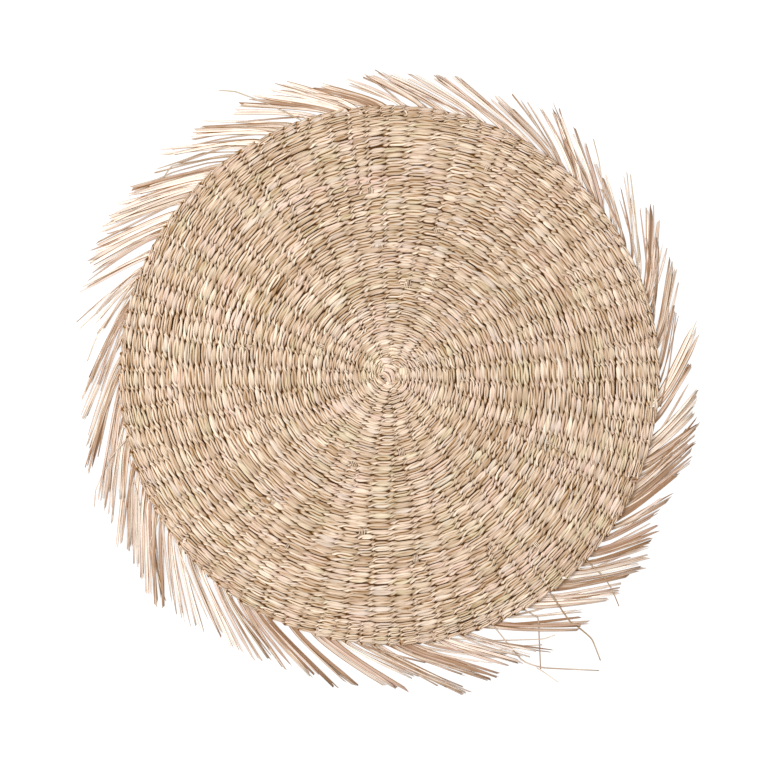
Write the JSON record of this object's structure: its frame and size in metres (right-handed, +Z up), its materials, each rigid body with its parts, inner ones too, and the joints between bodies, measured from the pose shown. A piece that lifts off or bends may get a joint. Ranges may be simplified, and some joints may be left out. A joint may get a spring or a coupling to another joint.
{
  "type": "seagrass placemat",
  "caption": "Round flat placemat twined from dried seagrass in a close spiral, with the spoke ends left as a short fringe swept round the rim",
  "frame": {"origin": "the middle of the underside, on the surface that the mat lies on", "axes": "+Z up out of the face; +X to the right and +Y to the top as seen from above; the fringe sweeps counter-clockwise"},
  "size_m": [0.444, 0.4373, 0.0038],
  "materials": {
    "twined_seagrass": "dried seagrass in fine twined rows, warm straw with cream, pinkish and khaki stretches and dark furrows",
    "fringe_seagrass": "loose flat seagrass blades, pale tan with reddish and brown streaks, dry and matt"
  },
  "bodies": {
    "root": {"woven_disc": "twined_seagrass", "fringe_01": "fringe_seagrass", "fringe_02": "fringe_seagrass", "fringe_03": "fringe_seagrass", "fringe_04": "fringe_seagrass", "fringe_05": "fringe_seagrass", "fringe_06": "fringe_seagrass", "fringe_07": "fringe_seagrass", "fringe_08": "fringe_seagrass", "fringe_09": "fringe_seagrass", "fringe_10": "fringe_seagrass", "fringe_11": "fringe_seagrass", "fringe_12": "fringe_seagrass"}
  },
  "joints": []
}
